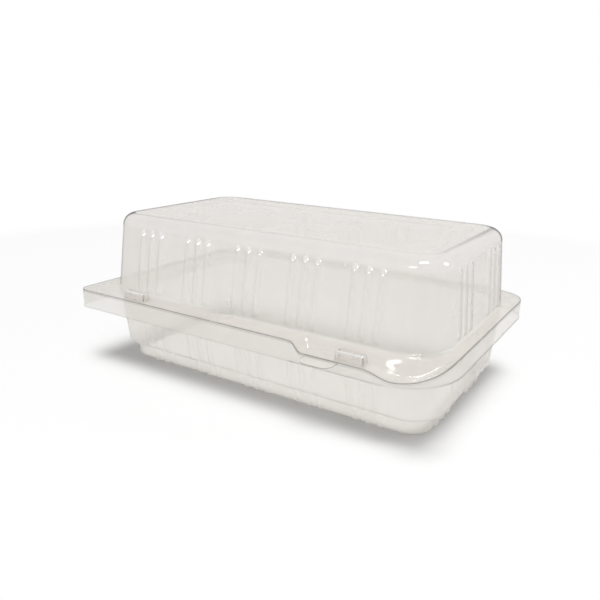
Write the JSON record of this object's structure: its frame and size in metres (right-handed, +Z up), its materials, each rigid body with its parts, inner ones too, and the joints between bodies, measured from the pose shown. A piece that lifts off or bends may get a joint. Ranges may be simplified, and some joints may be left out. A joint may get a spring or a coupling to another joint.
{
  "type": "hinged plastic food container",
  "caption": "Clear hinged food container with a ribbed dome lid, a stepped tray, a skirted rim with a thumb scoop, pull tab and snap buttons, and a living hinge along the back.",
  "frame": {"origin": "centre of the foot's flat underside, on the surface that the container stands on", "axes": "+X along the container's length to the right as seen from the front, +Y from the front towards the hinge, +Z up"},
  "size_m": [0.221, 0.1543, 0.0873],
  "materials": {
    "clear_sheet": "clear glossy thin sheet"
  },
  "bodies": {
    "base": {"base_tray": "clear_sheet", "living_hinge": "clear_sheet"},
    "cover": {"lid": "clear_sheet"}
  },
  "joints": [
    {"name": "lid_hinge", "type": "hinge", "parent": "base", "child": "cover", "pos_m": [0, 0.07305, 0.04415], "axis": [-1, 0, 0], "range_deg": [0, 180], "deforming": ["living_hinge"]}
  ]
}
